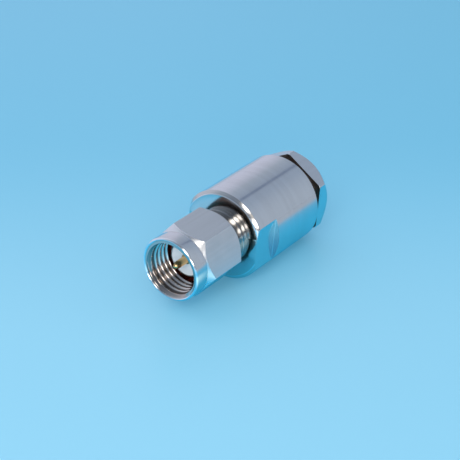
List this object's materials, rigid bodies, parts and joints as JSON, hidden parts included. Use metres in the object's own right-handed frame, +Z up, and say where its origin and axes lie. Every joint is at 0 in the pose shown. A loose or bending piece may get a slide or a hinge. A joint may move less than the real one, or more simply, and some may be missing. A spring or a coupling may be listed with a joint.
{
  "type": "coaxial connector plug",
  "caption": "Straight coaxial plug: free-turning hexagon coupling nut, gilt centre pin, round body with wrench flats and a screwed hexagon cable clamp.",
  "frame": {"origin": "centre of the mating reference plane, the front face of the barrel, on the axis", "axes": "+X along the axis from the mating end to the cable end, +Z up as the plug lies on its side, +Y across"},
  "size_m": [0.0258, 0.0114, 0.0114],
  "materials": {
    "bright_nickel": "bright nickel plate on turned brass",
    "gold_plate": "smooth gold plate",
    "white_insulator": "waxy white fluoropolymer",
    "silicone": "matt red-brown silicone",
    "black_rubber": "matt black rubber",
    "spring_bronze": "plain spring bronze",
    "plain_brass": "turned brass"
  },
  "bodies": {
    "shell": {"front_body": "bright_nickel", "main_body": "bright_nickel", "front_insulator": "white_insulator", "rear_insulator": "white_insulator", "centre_contact": "gold_plate", "interface_gasket": "silicone", "braid_clamp": "plain_brass", "cable_gasket": "black_rubber"},
    "ring": {"retaining_ring": "spring_bronze"},
    "coupling": {"coupling_nut": "bright_nickel"},
    "washer": {"thrust_washer": "plain_brass"},
    "clamp": {"clamp_nut": "bright_nickel"}
  },
  "joints": [
    {"name": "coupling_float", "type": "slide", "parent": "shell", "child": "ring", "axis": [1, 0, 0], "range_m": [-0.00014, 0.00014]},
    {"name": "coupling_spin", "type": "hinge", "parent": "ring", "child": "coupling", "pos_m": [0, 0, 0], "axis": [1, 0, 0], "continuous": true},
    {"name": "clamp_travel", "type": "slide", "parent": "shell", "child": "washer", "axis": [1, 0, 0], "range_m": [-0.0006, 0.0024]},
    {"name": "clamp_turn", "type": "hinge", "parent": "washer", "child": "clamp", "pos_m": [0.02, 0, 0], "axis": [1, 0, 0], "range_deg": [-288, 1152]}
  ],
  "couplings": [
    {"joint": "clamp_turn", "follows": "clamp_travel", "rad_per_m": 8377.6}
  ]
}
